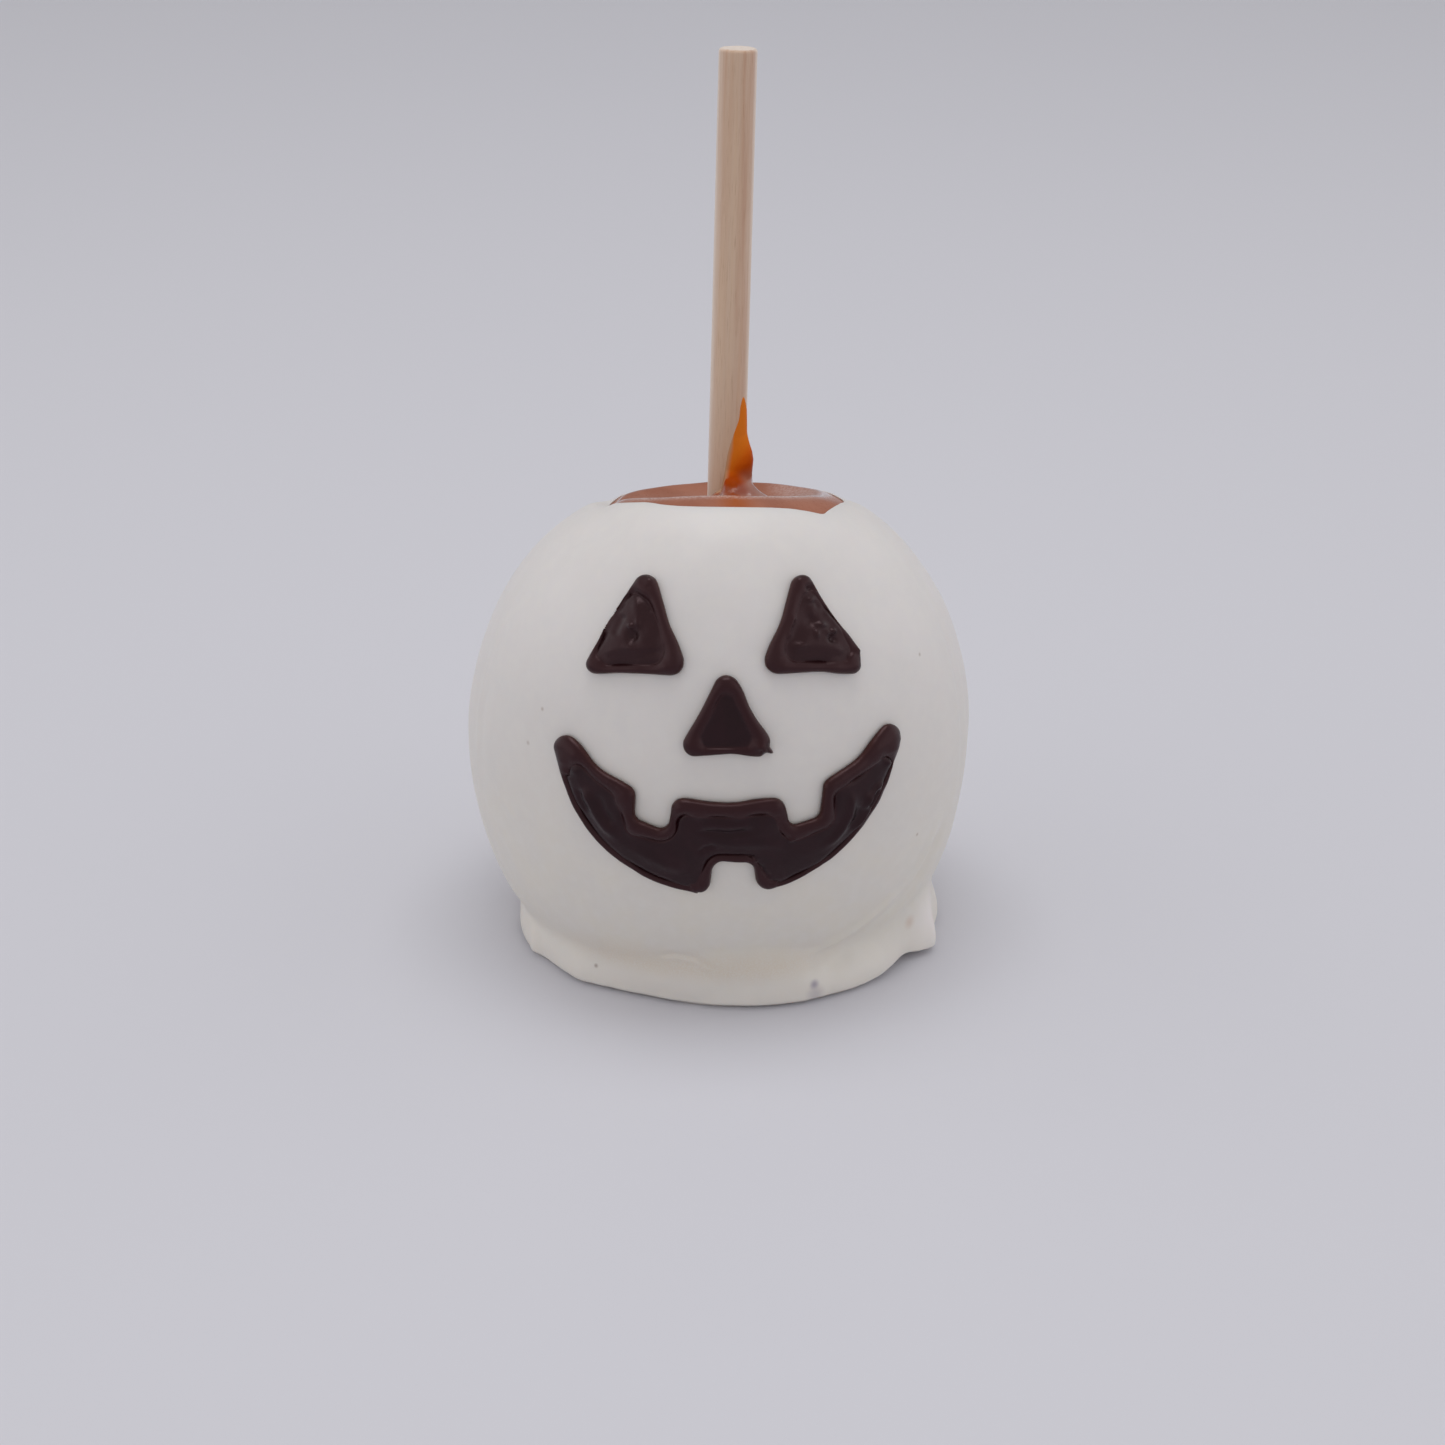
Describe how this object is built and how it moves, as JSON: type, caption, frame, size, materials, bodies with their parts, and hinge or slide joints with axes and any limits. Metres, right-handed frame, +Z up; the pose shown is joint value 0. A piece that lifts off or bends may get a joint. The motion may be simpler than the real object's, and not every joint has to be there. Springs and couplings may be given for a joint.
{
  "type": "caramel apple",
  "caption": "White-chocolate-dipped caramel apple on a wooden stick, with a jack-o'-lantern face piped in dark chocolate.",
  "frame": {"origin": "on the ground under the apple's axis, on the flat underside of the chocolate coat", "axes": "+Z up along the apple and its stick, the piped face at -Y, +X to the right of a viewer who looks at the face"},
  "size_m": [0.0883, 0.0904, 0.156],
  "materials": {
    "white_chocolate": "satin",
    "caramel": "gloss",
    "dowel_wood": "sanded, unvarnished",
    "dark_chocolate": "satin"
  },
  "bodies": {
    "root": {"white_coat": "white_chocolate", "caramel_apple": "caramel", "stick": "dowel_wood", "left_eye": "dark_chocolate", "right_eye": "dark_chocolate", "nose": "dark_chocolate", "mouth": "dark_chocolate"}
  },
  "joints": []
}
